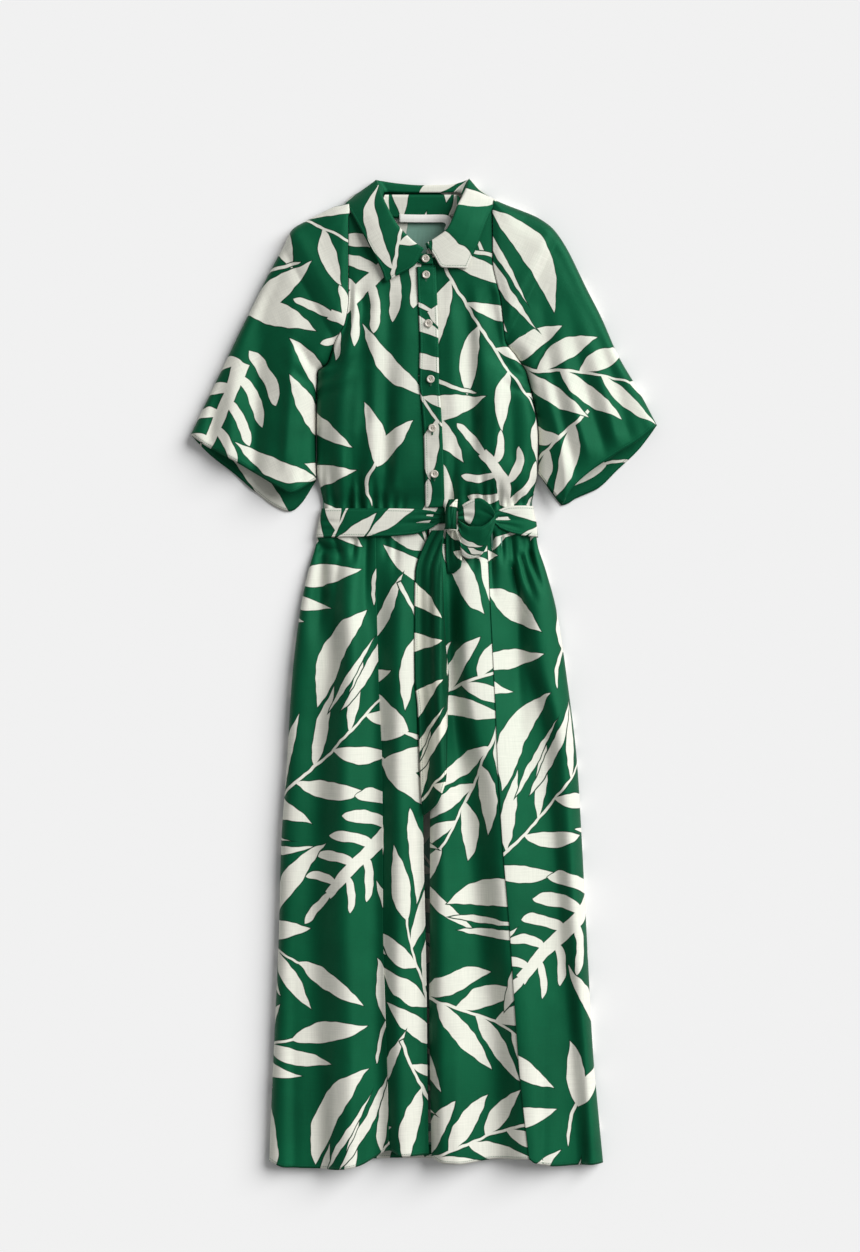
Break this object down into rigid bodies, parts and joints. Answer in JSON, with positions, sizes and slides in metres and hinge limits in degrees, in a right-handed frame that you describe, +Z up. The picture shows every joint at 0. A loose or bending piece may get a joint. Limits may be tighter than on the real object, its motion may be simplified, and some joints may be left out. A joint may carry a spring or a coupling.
{
  "type": "shirt dress",
  "caption": "Long shirt dress laid flat on its back: fold-down collar, buttoned bodice, raglan half sleeves, tie belt with a one-loop bow, and a pleated skirt open down the front.",
  "frame": {"origin": "under the back of the belt, in the middle of the waist, on the surface the dress lies on", "axes": "+Y from the hem to the collar, +X to the wearer's left, +Z up out of the surface, towards the front of the dress"},
  "size_m": [0.6141, 1.3009, 0.041],
  "materials": {
    "leaf_print_green": "smooth woven viscose, green with an off-white leaf print",
    "leaf_print_pale": "the same cloth where the off-white of the print covers most of a small piece",
    "white_tape": "white woven tape",
    "button_shell": "pale pearly, half gloss"
  },
  "bodies": {
    "root": {"back_bodice": "leaf_print_green", "back_skirt": "leaf_print_green", "belt_band": "leaf_print_green", "belt_knot": "leaf_print_green", "belt_loop": "leaf_print_green", "belt_tail_long": "leaf_print_green", "belt_tail_short": "leaf_print_green", "button_1": "button_shell", "button_2": "button_shell", "button_3": "button_shell", "button_4": "button_shell", "button_5": "button_shell", "button_6": "button_shell", "collar": "leaf_print_pale", "collar_stand": "leaf_print_green", "front_bodice_left": "leaf_print_green", "front_bodice_right": "leaf_print_green", "front_skirt_left": "leaf_print_green", "front_skirt_right": "leaf_print_green", "neck_label": "white_tape", "placket": "leaf_print_green", "sleeve_left": "leaf_print_green", "sleeve_right": "leaf_print_green"}
  },
  "joints": []
}
